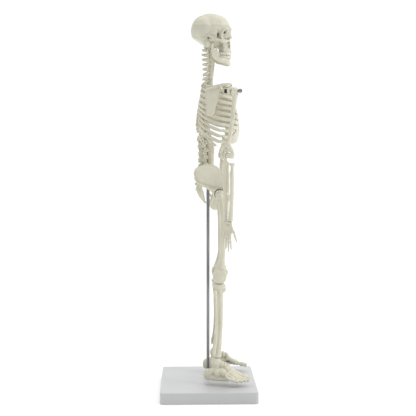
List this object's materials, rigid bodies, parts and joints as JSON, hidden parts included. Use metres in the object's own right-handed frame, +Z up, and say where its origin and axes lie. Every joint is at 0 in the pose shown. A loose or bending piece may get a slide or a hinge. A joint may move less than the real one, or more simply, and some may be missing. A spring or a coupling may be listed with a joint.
{
  "type": "human skeleton model",
  "caption": "Small white plastic human skeleton with a lifting skullcap, moving jaw, arms and legs, held by a steel rod on a flat rectangular base.",
  "frame": {"origin": "middle of the underside of the base, on the axis of the rod", "axes": "+Z up along the rod; the figure faces -Y; +X is towards the figure's own left"},
  "size_m": [0.122, 0.113, 0.4498],
  "materials": {
    "ivory_plastic": "satin moulded PVC, ivory white",
    "tooth_plastic": "smooth, a little whiter than the bone",
    "steel": "drawn bright steel",
    "dark_steel": "dark zinc-plated nuts",
    "base_plastic": "satin moulded plastic, cool white"
  },
  "bodies": {
    "stand": {"base": "base_plastic", "support_rod": "steel", "rod_nut": "dark_steel", "rod_washer": "steel"},
    "torso": {"cervical_spine": "ivory_plastic", "thoracic_spine": "ivory_plastic", "lumbar_spine": "ivory_plastic", "neck_peg": "steel", "sacrum_and_coccyx": "ivory_plastic", "rib_cage": "ivory_plastic", "rib_11_right": "ivory_plastic", "rib_12_right": "ivory_plastic", "rib_11_left": "ivory_plastic", "rib_12_left": "ivory_plastic", "scapula_right": "ivory_plastic", "shoulder_screw_right": "steel", "shoulder_nut_right": "dark_steel", "clavicle_right": "ivory_plastic", "hip_bone_right": "ivory_plastic", "hip_pin_right": "steel", "scapula_left": "ivory_plastic", "shoulder_screw_left": "steel", "shoulder_nut_left": "dark_steel", "clavicle_left": "ivory_plastic", "hip_bone_left": "ivory_plastic", "hip_pin_left": "steel"},
    "head": {"skull_base": "ivory_plastic", "cap_peg_front": "steel", "cap_peg_rear": "steel", "upper_teeth": "tooth_plastic", "jaw_pin_right": "steel", "jaw_pin_left": "steel"},
    "skullcap": {"calvarium": "ivory_plastic"},
    "jaw": {"mandible": "ivory_plastic", "lower_teeth": "tooth_plastic"},
    "upper_arm_right": {"humerus_right": "ivory_plastic"},
    "forearm_right": {"ulna_right": "ivory_plastic", "radius_right": "ivory_plastic", "hand_right": "ivory_plastic", "elbow_pin_right": "steel"},
    "thigh_right": {"femur_right": "ivory_plastic"},
    "shin_right": {"tibia_right": "ivory_plastic", "fibula_right": "ivory_plastic", "foot_right": "ivory_plastic", "knee_pin_right": "steel", "ankle_pin_right": "steel"},
    "upper_arm_left": {"humerus_left": "ivory_plastic"},
    "forearm_left": {"ulna_left": "ivory_plastic", "radius_left": "ivory_plastic", "hand_left": "ivory_plastic", "elbow_pin_left": "steel"},
    "thigh_left": {"femur_left": "ivory_plastic"},
    "shin_left": {"tibia_left": "ivory_plastic", "fibula_left": "ivory_plastic", "foot_left": "ivory_plastic", "knee_pin_left": "steel", "ankle_pin_left": "steel"}
  },
  "joints": [
    {"name": "stand_turn", "type": "hinge", "parent": "stand", "child": "torso", "pos_m": [0, 0, 0.0134], "axis": [0, 0, 1], "continuous": true},
    {"name": "head_turn", "type": "hinge", "parent": "torso", "child": "head", "pos_m": [0, -0.0042, 0.4094], "axis": [0, 0, 1], "range_deg": [-60, 60]},
    {"name": "skullcap_lift", "type": "slide", "parent": "head", "child": "skullcap", "axis": [0, 0, 1], "range_m": [0, 0.03]},
    {"name": "jaw_open", "type": "hinge", "parent": "head", "child": "jaw", "pos_m": [0, -0.005, 0.4118], "axis": [1, 0, 0], "range_deg": [0, 18]},
    {"name": "shoulder_right", "type": "hinge", "parent": "torso", "child": "upper_arm_right", "pos_m": [-0.045, -0.0297, 0.3561], "axis": [-0.5736, -0.8192, 0], "range_deg": [-60, 120]},
    {"name": "elbow_right", "type": "hinge", "parent": "upper_arm_right", "child": "forearm_right", "pos_m": [-0.048, -0.0206, 0.283], "axis": [-0.5736, -0.8192, 0], "range_deg": [0, 120]},
    {"name": "hip_right", "type": "hinge", "parent": "torso", "child": "thigh_right", "pos_m": [-0.025, -0.013, 0.2382], "axis": [1, 0, 0], "range_deg": [-70, 20]},
    {"name": "knee_right", "type": "hinge", "parent": "thigh_right", "child": "shin_right", "pos_m": [-0.0215, -0.013, 0.1414], "axis": [1, 0, 0], "range_deg": [0, 90]},
    {"name": "shoulder_left", "type": "hinge", "parent": "torso", "child": "upper_arm_left", "pos_m": [0.045, -0.0297, 0.3561], "axis": [0.5736, -0.8192, 0], "range_deg": [-120, 60]},
    {"name": "elbow_left", "type": "hinge", "parent": "upper_arm_left", "child": "forearm_left", "pos_m": [0.048, -0.0206, 0.283], "axis": [-0.5736, 0.8192, 0], "range_deg": [0, 120]},
    {"name": "hip_left", "type": "hinge", "parent": "torso", "child": "thigh_left", "pos_m": [0.025, -0.013, 0.2382], "axis": [-1, 0, 0], "range_deg": [-20, 70]},
    {"name": "knee_left", "type": "hinge", "parent": "thigh_left", "child": "shin_left", "pos_m": [0.0215, -0.013, 0.1414], "axis": [1, 0, 0], "range_deg": [0, 90]}
  ]
}
